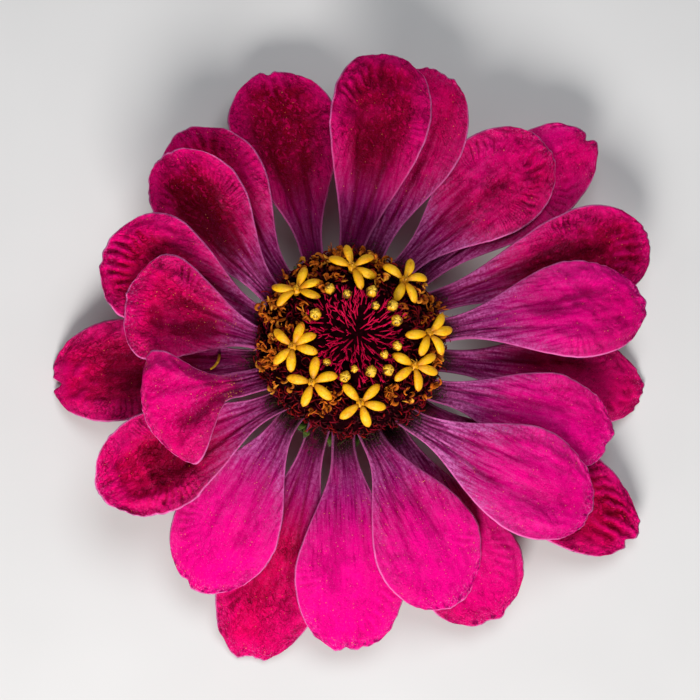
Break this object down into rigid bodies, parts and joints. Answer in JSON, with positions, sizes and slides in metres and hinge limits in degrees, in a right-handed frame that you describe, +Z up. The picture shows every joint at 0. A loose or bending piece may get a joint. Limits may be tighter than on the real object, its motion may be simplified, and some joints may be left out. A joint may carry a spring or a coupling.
{
  "type": "zinnia flower",
  "caption": "Single zinnia flower head resting face up: broad ray petals in overlapping tiers round a raised cone ringed with open star-shaped florets and closed buds.",
  "frame": {"origin": "centre of the nipped face under the calyx, on the surface the flower rests on", "axes": "+Z up along the flower's axis, out of the flower's face; +Y towards the petal at the top of the picture; +X towards the petals at its right"},
  "size_m": [0.0827, 0.0821, 0.0249],
  "materials": {
    "calyx_green": "matte green bracts, stands in for plant tissue",
    "petal_magenta": "velvety magenta petal, stands in for plant tissue",
    "chaff_crimson": "dark crimson packed chaff, stands in for plant tissue",
    "floret_yellow": "warm yellow waxy floret, stands in for plant tissue"
  },
  "bodies": {
    "root": {"calyx_cup": "calyx_green", "upper_bract_1": "calyx_green", "upper_bract_2": "calyx_green", "upper_bract_3": "calyx_green", "upper_bract_4": "calyx_green", "upper_bract_5": "calyx_green", "upper_bract_6": "calyx_green", "lower_bract_1": "calyx_green", "lower_bract_2": "calyx_green", "lower_bract_3": "calyx_green", "lower_bract_4": "calyx_green", "lower_bract_5": "calyx_green", "lower_bract_6": "calyx_green", "chaff_cone": "chaff_crimson", "ray_petal_01": "petal_magenta", "ray_petal_02": "petal_magenta", "ray_petal_03": "petal_magenta", "ray_petal_04": "petal_magenta", "ray_petal_05": "petal_magenta", "ray_petal_06": "petal_magenta", "ray_petal_07": "petal_magenta", "ray_petal_08": "petal_magenta", "ray_petal_09": "petal_magenta", "ray_petal_10": "petal_magenta", "ray_petal_11": "petal_magenta", "ray_petal_12": "petal_magenta", "ray_petal_13": "petal_magenta", "ray_petal_14": "petal_magenta", "ray_petal_15": "petal_magenta", "ray_petal_16": "petal_magenta", "ray_petal_17": "petal_magenta", "ray_petal_18": "petal_magenta", "ray_petal_19": "petal_magenta", "ray_petal_20": "petal_magenta", "ray_petal_21": "petal_magenta", "ray_petal_22": "petal_magenta", "ray_petal_23": "petal_magenta", "open_floret_1": "floret_yellow", "open_floret_2": "floret_yellow", "open_floret_3": "floret_yellow", "open_floret_4": "floret_yellow", "open_floret_5": "floret_yellow", "open_floret_6": "floret_yellow", "open_floret_7": "floret_yellow", "open_floret_8": "floret_yellow", "bud_01": "floret_yellow", "bud_02": "floret_yellow", "bud_03": "floret_yellow", "bud_04": "floret_yellow", "bud_05": "floret_yellow", "bud_06": "floret_yellow", "bud_07": "floret_yellow", "bud_08": "floret_yellow", "bud_09": "floret_yellow", "bud_10": "floret_yellow", "bud_11": "floret_yellow", "bud_12": "floret_yellow", "bud_13": "floret_yellow", "bud_14": "floret_yellow"}
  },
  "joints": []
}
